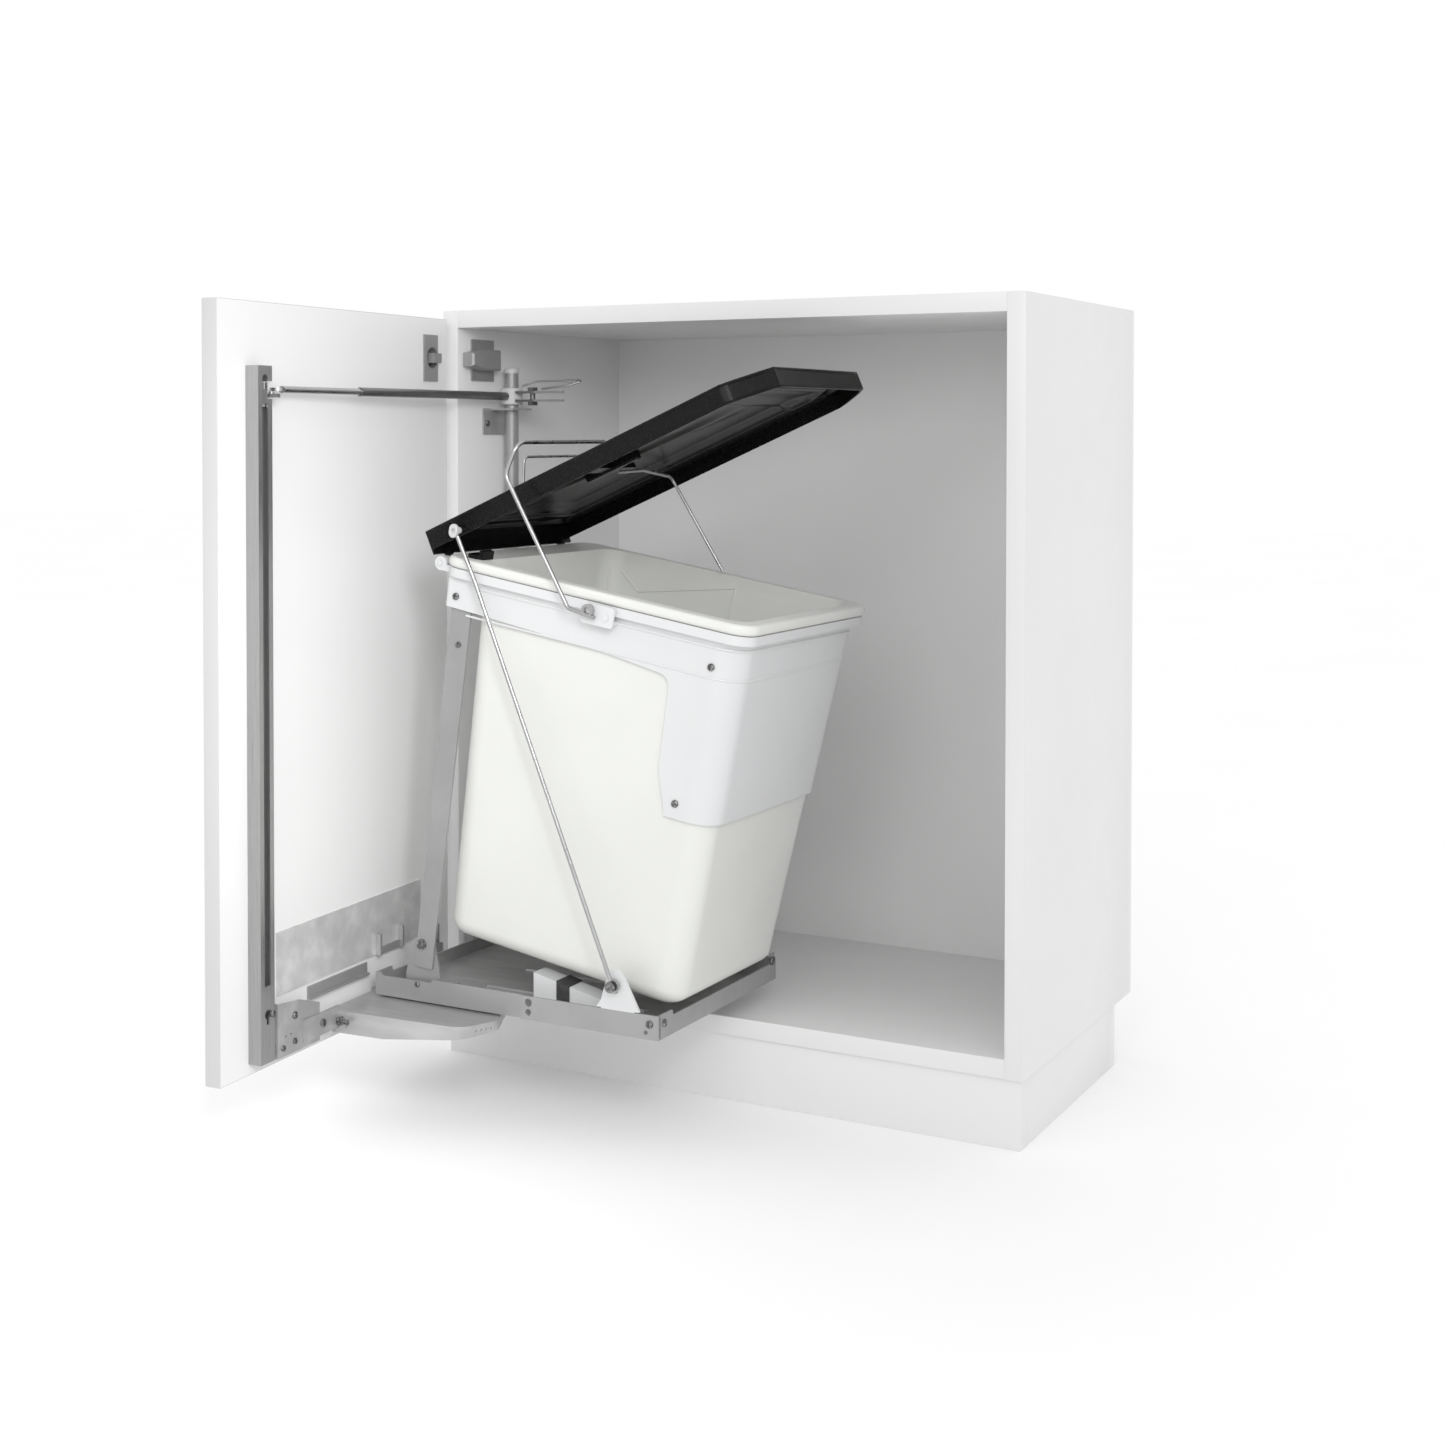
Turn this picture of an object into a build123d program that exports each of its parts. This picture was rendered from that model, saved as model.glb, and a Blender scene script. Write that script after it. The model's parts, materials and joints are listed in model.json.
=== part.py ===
"""Base cabinet with a swing-out waste bin that rides on the door.

Everything is drawn from the cabinet's front plane: X to the right, Y into the cabinet,
Z up from the floor, all in millimetres. save() then moves it to the frame's origin, the
middle of the plinth's underside. The parts are written as they stand with the door open.

Three groups are drawn in the pose where they are simplest, and then turned:
the door and what is on it are drawn closed, the bin is drawn upright, and the lid is
drawn shut on the upright bin.
"""
import os

from build123d import *

os.makedirs("parts", exist_ok=True)

# --- driving dimensions ---------------------------------------------------------------
WIDTH = 640
HEIGHT = 720
DEPTH = 345
BOARD = 18
BACK_BOARD = 8
PLINTH_HEIGHT = 66
PLINTH_FRONT = 5
PLINTH_BACK = 300
PLINTH_INSET = 4
ORIGIN_Y = (PLINTH_FRONT + PLINTH_BACK) / 2

DOOR_WIDTH = 388
DOOR_THICK = 16
DOOR_Z = (78, 776)
DOOR_FACE = -2
DOOR_PIVOT = (-319, -12)
DOOR_OPEN = 86

POLE_X, POLE_Y = -286.5, 80
POLE_R = 7.5
POLE_TOP = 722
STAY_Z = 697
STAY_END = (2, 8)
RUNNING = 0.05

TRAY_X = (-277, 40)
TRAY_Y = (-178, 62)
TRAY_Z = (110, 132)
SHEET = 2
TURN_PIN = (-219.2, -135.1)

TILT = 9.6
TILT_PIVOT = (-225, 164)
BIN_BOTTOM = 176.7
BIN_TOP = 543
RIM_THICK = 10
WALL = 2.5

LID_OPEN = 33
LID_PIVOT = (-265.8, 531.3)
LID_TOP = 564
LID_X = (-266, 120)
LID_Y = (-177, 71)
LID_SKIRT = 18

BASE = (Align.CENTER, Align.CENTER, Align.MIN)
UNDER = (Align.CENTER, Align.CENTER, Align.MAX)
INNER_X = WIDTH / 2 - BOARD
FLOOR_Z = PLINTH_HEIGHT + BOARD
TOP_Z = PLINTH_HEIGHT + HEIGHT


# --- small helpers --------------------------------------------------------------------
def save(node, shape):
    """Write one sub-part, moved to the frame's origin."""
    export_step(Pos(0, -ORIGIN_Y, 0) * shape, f"parts/{node}.step")


def block(x, y, z):
    """A box between two limits along each axis."""
    size = Box(x[1] - x[0], y[1] - y[0], z[1] - z[0])
    return Pos((x[0] + x[1]) / 2, (y[0] + y[1]) / 2, (z[0] + z[1]) / 2) * size


def slab(points, plane, thick):
    """A flat plate with a polygon outline, thickened along the plane's normal."""
    return extrude(plane * make_face(Polyline(*points, close=True)), thick)


def peg(seat, out, radius, length):
    """A cylinder that stands on a seat and points out."""
    return Plane(origin=seat, z_dir=out).location * Cylinder(radius, length, align=BASE)


def screw(seat, out, head=4.5, shank=6):
    """A slotted pan-head screw: its head on the seat, its shank behind the seat."""
    cap = Cylinder(head, head * 0.55, align=BASE)
    cap = fillet(cap.edges().sort_by(Axis.Z)[-1], head * 0.35)
    cap -= Pos(0, 0, head * 0.55) * Box(head * 3, head * 0.3, head * 0.4)
    return Plane(origin=seat, z_dir=out).location * (cap + Cylinder(head * 0.45, shank, align=UNDER))


def shank_hole(seat, out, head=4.5, depth=6):
    """The clearance hole for a screw's shank."""
    hole = Cylinder(head * 0.45 + 0.3, depth + 2, align=UNDER)
    return Plane(origin=seat, z_dir=out).location * Pos(0, 0, 1) * hole


def wire(points, radius, bends):
    """A round wire along straight runs joined by arcs."""
    path = FilletPolyline(*points, radius=bends) if len(points) > 2 else Line(*points)
    return sweep(Plane(origin=path @ 0, z_dir=path % 0) * Circle(radius), path=path)


def opened(shape):
    """Turn a sub-part that is drawn with the door closed to its open place."""
    return shape.rotate(Axis((*DOOR_PIVOT, 0), (0, 0, 1)), -DOOR_OPEN)


def tilted(shape):
    """Tilt a sub-part of the upright bin about its lower bolts."""
    return shape.rotate(Axis((TILT_PIVOT[0], 0, TILT_PIVOT[1]), (0, 1, 0)), TILT)


def lifted(shape):
    """Open a sub-part of the shut lid, then tilt it with the bin."""
    return tilted(shape.rotate(Axis((LID_PIVOT[0], 0, LID_PIVOT[1]), (0, 1, 0)), -LID_OPEN))


# --- cabinet --------------------------------------------------------------------------
def side_panel(sign):
    """One side of the carcass, from the plinth to the top."""
    outer = sign * WIDTH / 2
    inner = sign * INNER_X
    return block(sorted((inner, outer)), (0, DEPTH - BACK_BOARD), (PLINTH_HEIGHT, TOP_Z))


def shelf_panel(low):
    """A panel between the two sides."""
    return block((-INNER_X, INNER_X), (0, DEPTH - BACK_BOARD), (low, low + BOARD))


def back_panel():
    """The thin back, which covers the ends of the sides, top and bottom."""
    half = WIDTH / 2
    return block((-half, half), (DEPTH - BACK_BOARD, DEPTH), (PLINTH_HEIGHT, TOP_Z))


def plinth_boards():
    """The five boards of the plinth frame, by name."""
    half = WIDTH / 2 - PLINTH_INSET
    board = 16
    z = (0, PLINTH_HEIGHT)
    between = (PLINTH_FRONT + board, PLINTH_BACK - board)
    return {
        "plinth_front": block((-half, half), (PLINTH_FRONT, between[0]), z),
        "plinth_back": block((-half, half), (between[1], PLINTH_BACK), z),
        "plinth_left": block((-half, board - half), between, z),
        "plinth_right": block((half - board, half), between, z),
        "plinth_rail": block((-board / 2, board / 2), between, z),
    }


HINGE_Z = (120, 735)


def hinge_arms():
    """The cabinet halves of the two concealed hinges: a wall plate under a tapered arm."""
    arms = []
    for z in HINGE_Z:
        plate = block((-INNER_X, -INNER_X + 2), (24, 66), (z - 22, z + 22))
        outline = [(8, -7), (30, -11), (62, -11), (62, 11), (30, 11), (8, 7)]
        arm = slab(outline, Plane(origin=(-INNER_X + 2, 0, z), x_dir=(0, 1, 0), z_dir=(1, 0, 0)), 13)
        arm = chamfer(arm.faces().sort_by(Axis.X)[-1].edges(), 2)
        arm -= peg((-INNER_X + 20, 50, z), (-1, 0, 0), 3.4, 6)
        arms.append(plate + arm)
    return Compound(arms)


def pole():
    """The upright tube that the stay turns round."""
    return Pos(POLE_X, POLE_Y, FLOOR_Z) * Cylinder(POLE_R, POLE_TOP - FLOOR_Z, align=BASE)


def pole_cap():
    """The domed plug on the pole's top."""
    cap = Cylinder(POLE_R + 0.8, 6, align=BASE)
    cap = fillet(cap.edges().sort_by(Axis.Z)[-1], 3)
    return Pos(POLE_X, POLE_Y, POLE_TOP) * cap


def pole_foot():
    """The flange that holds the pole to the floor panel."""
    flange = Cylinder(15, 3, align=BASE) + Pos(0, 0, 3) * Cylinder(11, 14, align=BASE)
    flange -= Cylinder(POLE_R, 17, align=BASE)
    return Pos(POLE_X, POLE_Y, FLOOR_Z) * flange


BRACKET_Z = (672, 684)


def pole_bracket():
    """The pressed bracket that holds the pole's top to the cabinet's side."""
    leaf = block((-INNER_X, -INNER_X + 2), (46, 114), (656, 684))
    shelf = block((-INNER_X + 2, POLE_X + 14), (62, 98), (682, 684))
    bracket = leaf + shelf
    bracket -= Pos(POLE_X, POLE_Y, 680) * Cylinder(POLE_R, 8, align=BASE)
    for y in (53, 107):
        bracket -= shank_hole((-INNER_X + 2, y, 668), (1, 0, 0), 3.5, 2)
    return bracket


def bracket_screws():
    """The screws of the pole's bracket."""
    return Compound([screw((-INNER_X + 2, y, 668), (1, 0, 0), 3.5, 2) for y in (53, 107)])


# --- stay between the pole and the door -----------------------------------------------
def stay_direction():
    """The unit vector from the pole to the stay's end on the open door."""
    end = opened(Pos(STAY_END[0], STAY_END[1], STAY_Z) * Sphere(1)).center()
    return (Vector(end.X, end.Y, 0) - Vector(POLE_X, POLE_Y, 0)).normalized()


STAY_DIR = stay_direction()
RING_R = 12
TUBE_R = 4.4
ROD_R = 3.2
TUBE_END = 276
STAY_LENGTH = 402


def along_stay(distance, z=STAY_Z):
    """A point on the stay, measured from the pole's axis."""
    return Vector(POLE_X, POLE_Y, z) + STAY_DIR * distance


def clamp_ring():
    """The ring that turns on the pole."""
    ring = Cylinder(RING_R, 18) - Cylinder(POLE_R + RUNNING, 20)
    ring = chamfer(ring.edges().filter_by(GeomType.CIRCLE).sort_by(SortBy.RADIUS)[-2:], 1)
    return Pos(POLE_X, POLE_Y, STAY_Z) * ring


def stay_tube():
    """The tube that starts at the ring and takes the rod."""
    tube = peg(along_stay(RING_R + 0.2), STAY_DIR, TUBE_R, TUBE_END - RING_R)
    return tube - peg(along_stay(40), STAY_DIR, ROD_R + RUNNING, TUBE_END)


def stay_rod():
    """The rod that slides in the tube; its flat eye meets the door's channel."""
    start = TUBE_END - 60
    rod = peg(along_stay(start), STAY_DIR, ROD_R, STAY_LENGTH - start - 6)
    eye = Pos(*along_stay(STAY_LENGTH)) * (Cylinder(7, 3) - Cylinder(2.6, 5))
    return rod + eye


def clamp_plates():
    """The two lever plates that grip the ring from the far side."""
    plates = []
    for z in (STAY_Z - 6, STAY_Z + 3):
        outline = [(RING_R - 1, -10), (34, -9), (50, -4), (66, 0), (64, 5), (34, 8), (RING_R - 1, 10)]
        plate = slab([(POLE_X + x, POLE_Y + y) for x, y in outline], Plane.XY.offset(z), 2.5)
        plate -= Pos(POLE_X, POLE_Y, z) * Cylinder(RING_R + 0.2, 10)
        plate -= Pos(POLE_X + 27, POLE_Y, z) * Cylinder(3.3, 10)
        plates.append(plate)
    return Compound(plates)


def clamp_bolt():
    """The bolt that draws the lever plates together."""
    x = POLE_X + 27
    head = Pos(x, POLE_Y, STAY_Z + 5.5) * extrude(RegularPolygon(6, 6), 4)
    nut = Pos(x, POLE_Y, STAY_Z - 10) * extrude(RegularPolygon(6, 6), 4)
    return head + nut + Pos(x, POLE_Y, STAY_Z - 8) * Cylinder(3, 14, align=BASE)


def spring_wire():
    """The bent wire spring above the clamp, a flat V with a rounded tip."""
    x, y = POLE_X, POLE_Y
    points = [
        (x + 10.2, y + 5, STAY_Z + 11),
        (x + 26, y + 9, STAY_Z + 16),
        (x + 76, y + 12, STAY_Z + 17),
        (x + 86, y + 10, STAY_Z + 16),
        (x + 70, y + 2, STAY_Z + 11),
        (x + 38, y + 1, STAY_Z + 8),
    ]
    return wire(points, 1.1, [8, 12, 2.6, 12])


# --- door -----------------------------------------------------------------------------
CHANNEL_X = (6, 27)
CHANNEL_Z = (88, 718)
ARM_Z = (87, 108)
DOOR_SCREWS = [
    ((12, 14, 132), 3.5),
    ((-22, 14, 122), 3.5),
    ((-22, 14, 98), 3),
    ((-4, 14, 96), 3),
]


def door_panel():
    """The door leaf, drilled for the hinge cups."""
    left = DOOR_PIVOT[0] - 1
    panel = block((left, left + DOOR_WIDTH), (DOOR_FACE - DOOR_THICK, DOOR_FACE), DOOR_Z)
    for z in HINGE_Z:
        panel -= peg((-290, DOOR_FACE + 1, z), (0, -1, 0), 13.2, 12)
    return panel


def hinge_cups():
    """The door halves of the hinges: a cup in the door, a flange and a short lever."""
    cups = []
    for z in HINGE_Z:
        cup = peg((-290, DOOR_FACE, z), (0, -1, 0), 13, 10.5)
        cup -= peg((-290, DOOR_FACE, z), (0, -1, 0), 11, 9)
        flange = block((-301, -274), (DOOR_FACE, DOOR_FACE + 1.5), (z - 24, z + 24))
        flange -= peg((-290, DOOR_FACE - 1, z), (0, 1, 0), 11, 6)
        lever = block((-301, -286), (DOOR_FACE - 5, DOOR_FACE + 6), (z - 5, z + 5))
        cups.append(cup + flange + lever)
    return Compound(cups)


def door_channel():
    """The upright C-channel on the door, with a keyhole near each end."""
    x0, x1 = CHANNEL_X
    y0, y1 = DOOR_FACE, DOOR_FACE + 14
    channel = block(CHANNEL_X, (y0, y1), CHANNEL_Z)
    channel -= block((x0 + SHEET, x1 - SHEET), (y0 + SHEET, y1 + 1), CHANNEL_Z)
    for lip in ((x0, x0 + 6), (x1 - 6, x1)):
        channel += block(lip, (y1 - SHEET, y1), CHANNEL_Z)
    web = block((x0, x1), (y1 - SHEET, y1), (CHANNEL_Z[0], CHANNEL_Z[0] + 70))
    top = block((x0, x1), (y1 - SHEET, y1), (CHANNEL_Z[1] - 34, CHANNEL_Z[1]))
    channel += web + top
    middle = (x0 + x1) / 2
    for z in (132, CHANNEL_Z[1] - 12):
        channel -= peg((middle, y1 - 5, z), (0, 1, 0), 4.2, 8)
        channel -= block((middle - 2, middle + 2), (y1 - 5, y1 + 1), (z - 9, z))
    slot = block((x0 - 1, x0 + 7), (y0 + 4, y1 + 1), (STAY_Z - 9, STAY_Z + 7))
    return channel - slot


def stay_shoe():
    """The shoe in the channel that the stay's eye turns on."""
    x, y = STAY_END
    shoe = block((9, 22), (DOOR_FACE + SHEET, 9), (STAY_Z - 16, STAY_Z - 5))
    tongue = block((x - 7, 10), (y - 5, y + 5), (STAY_Z - 7.5, STAY_Z - 4))
    return shoe + tongue + Pos(x, y, STAY_Z - 4) * Cylinder(2.4, 1.9, align=BASE)


def kick_plate():
    """The sheet that guards the door's lower inner face."""
    return block((-264, -14), (DOOR_FACE, DOOR_FACE + 1.2), (139, 198))


def corner_bracket():
    """The riveted plate beside the channel that carries the arm."""
    outline = [(-62, 88), (4, 88), (4, 138), (-32, 134), (-62, 124)]
    face = Plane(origin=(0, 12, 0), x_dir=(-1, 0, 0), z_dir=(0, 1, 0))
    plate = slab([(-x, z) for x, z in outline], face, 2)
    foot = block((-60, -34), (DOOR_FACE, 12), (117.5, 120.5))
    wall = block((2, 4), (DOOR_FACE, 12), (88, 138))
    plate += foot + wall
    for (x, y, z), head in DOOR_SCREWS[1:]:
        plate -= shank_hole((x, y, z), (0, 1, 0), head, 2)
    for x in (-8, -16):
        plate -= peg((x, 10, 106), (0, 1, 0), 1.2, 6)
    return plate


def arm_bracket():
    """The bent strip between the corner plate and the arm."""
    strip = block((-92, -34), (14, 16), (93, 114))
    lug = block((-92, -90), (16, 24), (93, 108.5))
    strip -= shank_hole((-64, 16, 104), (0, 1, 0), 4, 2)
    return strip + lug


ARM_NEAR, ARM_FAR = -92, -250
ARM_START = 4
ARM_CORNER = (-128, 168)
ARM_HOLES = [(15.5 + 5.5 * step) for step in range(4)]


def support_arm():
    """The folded steel arm that carries the tray: a flat top, a tapering rim and a rounded end."""
    outline = [
        (ARM_FAR, ARM_START),
        (ARM_NEAR - 4, ARM_START),
        (ARM_NEAR, ARM_START + 4),
        (ARM_NEAR, 150),
        ARM_CORNER,
        (ARM_FAR, 118),
    ]
    top = make_face(Polyline(*outline, close=True))
    top = fillet(top.vertices().sort_by_distance((ARM_NEAR, 150))[0], 22)
    top = fillet(top.vertices().sort_by_distance(ARM_CORNER)[0], 14)
    body = extrude(Plane.XY.offset(ARM_Z[0]) * top, ARM_Z[1] - ARM_Z[0])
    inner = offset(top, -SHEET)
    hollow = extrude(Plane.XY.offset(ARM_Z[0] - 1) * inner, ARM_Z[1] - ARM_Z[0] + 1 - SHEET)
    body -= hollow
    body -= Pos(*closed_pin(), 80) * Cylinder(6, 60, align=BASE)
    taper = [(64, 80), (180, 80), (180, 100), (64, ARM_Z[0])]
    body -= slab(taper, Plane(origin=(ARM_FAR - 5, 0, 0), x_dir=(0, 1, 0), z_dir=(1, 0, 0)), 170)
    end = Vector(ARM_CORNER[0] - ARM_NEAR, ARM_CORNER[1] - 150).normalized()
    for along in ARM_HOLES:
        body -= peg((ARM_NEAR + end.X * along, 150 + end.Y * along, 103), (end.Y, -end.X, 0), 1.5, 6)
        body -= peg((ARM_NEAR + end.X * along, 150 + end.Y * along, 103), (-end.Y, end.X, 0), 1.5, 6)
    for x in (ARM_FAR, -180):
        body += block((x, x + 6), (DOOR_FACE, ARM_START + SHEET), ARM_Z)
    return body


def closed_pin():
    """Where the tray's turning pin stands while the door is closed."""
    pin = Vector(*TURN_PIN, 0) - Vector(*DOOR_PIVOT, 0)
    pin = pin.rotate(Axis.Z, DOOR_OPEN) + Vector(*DOOR_PIVOT, 0)
    return pin.X, pin.Y


def turn_pin():
    """The headed pin that the tray turns on."""
    x, y = closed_pin()
    stem = Pos(x, y, ARM_Z[0] + 2) * Cylinder(6, 27, align=BASE)
    collar = Pos(x, y, ARM_Z[1]) * Cylinder(13, 1.2, align=BASE)
    head = fillet(Cylinder(10, 3, align=BASE).edges().sort_by(Axis.Z)[-1], 1.2)
    return stem + collar + Pos(x, y, ARM_Z[0] + 29) * head


def angle_bar():
    """The short steel angle that stiffens the door above the arm."""
    bar = block((-164, -64), (DOOR_FACE, DOOR_FACE + 2), (124, 136))
    return bar + block((-164, -64), (DOOR_FACE, DOOR_FACE + 5), (124, 126))


def guide_ears():
    """Two upright ears beside the angle, with a black stop between them."""
    ears = block((-224, -180), (DOOR_FACE + 1.2, DOOR_FACE + 4), (139, 146))
    for x in (-224, -183):
        ears += block((x, x + 3), (DOOR_FACE + 1.2, DOOR_FACE + 7), (139, 160))
    return ears


def door_screws():
    """The screws and the wing bolt of the door's metalwork."""
    screws = [screw((x, y, z), (0, 1, 0), head, 2) for (x, y, z), head in DOOR_SCREWS]
    screws.append(screw((-64, 16, 104), (0, 1, 0), 4, 2))
    bolt = peg((-90, 20, 100), (1, 0, 0), 4, 5)
    bolt += block((-87, -85), (16.5, 30), (98, 102))
    screws.append(bolt)
    return Compound(screws)


# --- tray -----------------------------------------------------------------------------
JOINT_X = -108
LUG_Y = (-167.9, 59.3)


def rail(x, y, dip=0, dip_at=0):
    """A tray rail: a strip on edge, its top dipped in the middle where dip is given."""
    strip = block(x, y, TRAY_Z)
    if dip:
        if x[1] - x[0] > y[1] - y[0]:
            cut = Pos(dip_at, (y[0] + y[1]) / 2, TRAY_Z[1]) * Box(60, 10, dip * 2)
            cut = fillet(cut.edges().filter_by(Axis.Y), dip * 0.8)
        else:
            cut = Pos((x[0] + x[1]) / 2, dip_at, TRAY_Z[1]) * Box(10, 206, dip * 2)
            cut = fillet(cut.edges().filter_by(Axis.X), dip * 0.8)
        strip -= cut
    return strip


def tray_rails():
    """The five rails of the tray's frame, by name."""
    x0, x1 = TRAY_X
    y0, y1 = TRAY_Y
    left = rail((x0, JOINT_X), (y0, y0 + SHEET), 3, -240)
    right = rail((JOINT_X, x1), (y0 - SHEET, y0)) + block((JOINT_X, x1), (y0, y0 + SHEET), (110, 112))
    right -= peg((JOINT_X + 9, y0 - 5, 126), (0, 1, 0), 3.8, 12)
    right -= peg((JOINT_X + 9, y0 - 5, 117), (0, 1, 0), 3.2, 12)
    side = rail((x1 - SHEET, x1), (y0 + SHEET + 0.2, y1 - SHEET - 0.2), 5, -50)
    side += block((x1 - SHEET, x1), (y1 - 10, y1 - SHEET - 0.2), (TRAY_Z[1] - 5, TRAY_Z[1] + 5))
    return {
        "front_rail_left": left,
        "front_rail_right": right,
        "side_rail": side,
        "back_rail": rail((x0, x1), (y1 - SHEET, y1)),
        "left_rail": rail((x0, x0 + SHEET), (y0 + SHEET + 0.2, y1 - SHEET - 0.2), 5, -50),
    }


def tray_plate():
    """The galvanised sheet of the tray, with its turning hole and a raised bead."""
    x0, x1 = TRAY_X
    y0, y1 = TRAY_Y
    z = TRAY_Z[0] + SHEET + 0.2
    plate = block((x0 + 2.3, x1 - 2.3), (y0 + 2.3, y1 - 2.3), (z, z + 1.5))
    plate -= Pos(*TURN_PIN, z) * Cylinder(6 + RUNNING, 10)
    bead = block((x0 + 90, x1 - 50), (y0 + 60, y0 + 66), (z + 1.5, z + 4))
    beads = [bead, Pos(0, 70, 0) * bead, Pos(0, 110, 0) * bead]
    for item in beads:
        plate += fillet(item.edges().group_by(Axis.Z)[-1], 1)
    return plate


def pivot_lugs():
    """The ears inside the tray that the bars bolt to."""
    lugs = []
    for y in LUG_Y:
        outline = [(-246, 114), (-206, 114), (-206, 134), (-214, 170), (-236, 170), (-246, 134)]
        out = Plane(origin=(0, y, 0), x_dir=(1, 0, 0), z_dir=(0, -1, 0))
        lug = slab(outline, out, 2)
        lug = fillet(lug.edges().filter_by(Axis.Y).group_by(Axis.Z)[-1], 8)
        lug -= peg((TILT_PIVOT[0], y + 3, TILT_PIVOT[1]), (0, -1, 0), 3 + RUNNING, 8)
        lugs.append(lug)
    return Compound(lugs)


def rod_bracket():
    """The white ear on the front rail that the lid's rod turns on."""
    y = TRAY_Y[0] - SHEET
    outline = [(-25, 133), (20, 133), (4, 163), (-2, 169), (-9, 168), (-14, 160), (-20, 140)]
    ear = slab(outline, Plane(origin=(0, y + 3, 0), x_dir=(1, 0, 0), z_dir=(0, -1, 0)), 3)
    ear += block((-20, 15), (y, y + 6), (132, 134))
    slot = block((-8, -2), (y - 2, y + 5), (147, 161))
    return ear - fillet(slot.edges().filter_by(Axis.Y), 2.9)


ROD_PIN = (-5, 155)


def rail_bolts():
    """The black screws of the rails, the rod's pin and the bars' lower bolts."""
    y0 = TRAY_Y[0]
    bolts = [
        screw((-227, y0, 126), (0, -1, 0), 2.8, 2),
        screw((TRAY_X[1] - 9, y0 - SHEET, 124), (0, -1, 0), 3.6, 1.5),
        screw((TRAY_X[1] - 13, y0 - SHEET, 116), (0, -1, 0), 1.8, 1.5),
        screw((TRAY_X[1], y0 + 9, 124), (1, 0, 0), 3.6, 1.5),
        screw((TRAY_X[1], TRAY_Y[1] - 9, 130), (1, 0, 0), 4.4, 1.5),
    ]
    pin = peg((ROD_PIN[0], y0 - SHEET + 6, ROD_PIN[1]), (0, -1, 0), 2.9, 15)
    head = peg((ROD_PIN[0], y0 - 11.2, ROD_PIN[1]), (0, -1, 0), 5, 2)
    bolts.append(pin + fillet(head.edges().sort_by(Axis.Y)[0], 0.8))
    return Compound(bolts)


def rail_bolt_holes():
    """The holes that the rail screws need."""
    y0 = TRAY_Y[0]
    holes = shank_hole((-227, y0, 126), (0, -1, 0), 2.8, 2)
    holes += shank_hole((TRAY_X[1] - 9, y0 - SHEET, 124), (0, -1, 0), 3.6, 2)
    holes += shank_hole((TRAY_X[1] - 13, y0 - SHEET, 116), (0, -1, 0), 1.8, 2)
    holes += shank_hole((TRAY_X[1], y0 + 9, 124), (1, 0, 0), 3.6, 2)
    return holes + shank_hole((TRAY_X[1], TRAY_Y[1] - 9, 130), (1, 0, 0), 4.4, 2)


def rest_block():
    """The white rubber-banded block that the tilted bin comes down on."""
    outline = [(-112, 113.9), (-30, 113.9), (-30, 128), (-50, 132), (-112, 146)]
    return slab(outline, Plane(origin=(0, -128, 0), x_dir=(1, 0, 0), z_dir=(0, -1, 0)), 22)


def rest_band():
    """The black rubber band round the rest block."""
    x = (-86, -72)
    outline = [(x[0], 113.9), (x[1], 113.9), (x[1], 138.3), (x[0], 141.7)]
    plane = Plane(origin=(0, -126.8, 0), x_dir=(1, 0, 0), z_dir=(0, -1, 0))
    return slab(outline, plane, 24.4) - rest_block()


# --- bin ------------------------------------------------------------------------------
def bucket_wall(z):
    """The bucket's outer limits at a height: left, right, near and far."""
    t = (z - BIN_BOTTOM) / (BIN_TOP - RIM_THICK - BIN_BOTTOM)
    return -215.5 - 5.5 * t, 45.5 + 19 * t, -155 - 20 * t, 52 + 20 * t


def outline_at(z, grow, radius, left=None, left_radius=None):
    """A rounded rectangle round the bucket at a height, grown by a margin."""
    x0, x1, y0, y1 = bucket_wall(z)
    x0 = x0 - grow if left is None else left
    x1, y0, y1 = x1 + grow, y0 - grow, y1 + grow
    face = make_face(Polyline((x0, y0), (x1, y0), (x1, y1), (x0, y1), close=True))
    face = fillet(face.vertices().group_by(Axis.X)[-1], radius)
    face = fillet(face.vertices().group_by(Axis.X)[0], left_radius or radius)
    return Plane.XY.offset(z) * face


def tapered(low, high, grow, radius, left=None, left_radius=None):
    """A tapered block round the bucket between two heights."""
    return loft([outline_at(z, grow, radius, left, left_radius) for z in (low, high)])


RIM_X = (-255.5, 76)
RIM_Y = (-187, 83)


def rim_slab(low, high, inset, radius):
    """A rounded slab of the rim's outline between two heights."""
    x0, x1 = RIM_X[0] + inset, RIM_X[1] - inset
    y0, y1 = RIM_Y[0] + inset, RIM_Y[1] - inset
    face = Pos((x0 + x1) / 2, (y0 + y1) / 2, low) * RectangleRounded(x1 - x0, y1 - y0, radius)
    return extrude(face, high - low)


def bucket():
    """The ivory bucket: a tapered tub with a thick rolled rim and a shelf on its left."""
    top = BIN_TOP - RIM_THICK
    tub = tapered(BIN_BOTTOM, top, 0, 24)
    tub = fillet(tub.faces().sort_by(Axis.Z)[0].edges(), 16)
    rim = rim_slab(top, BIN_TOP, 0, 22)
    rim = fillet(rim.edges().group_by(Axis.Z)[-1] + rim.edges().group_by(Axis.Z)[0], 4)
    hollow = tapered(BIN_BOTTOM + 3, top, -WALL, 21)
    hollow = fillet(hollow.faces().sort_by(Axis.Z)[0].edges(), 14)
    mouth = extrude(outline_at(top, -WALL, 21), RIM_THICK + 1)
    return tub + rim - hollow - mouth


COVER_LOW = 354
BAND_LOW = 485
HOLDER_TOP = 532.5
HOLDER_LEFT = -251


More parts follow.
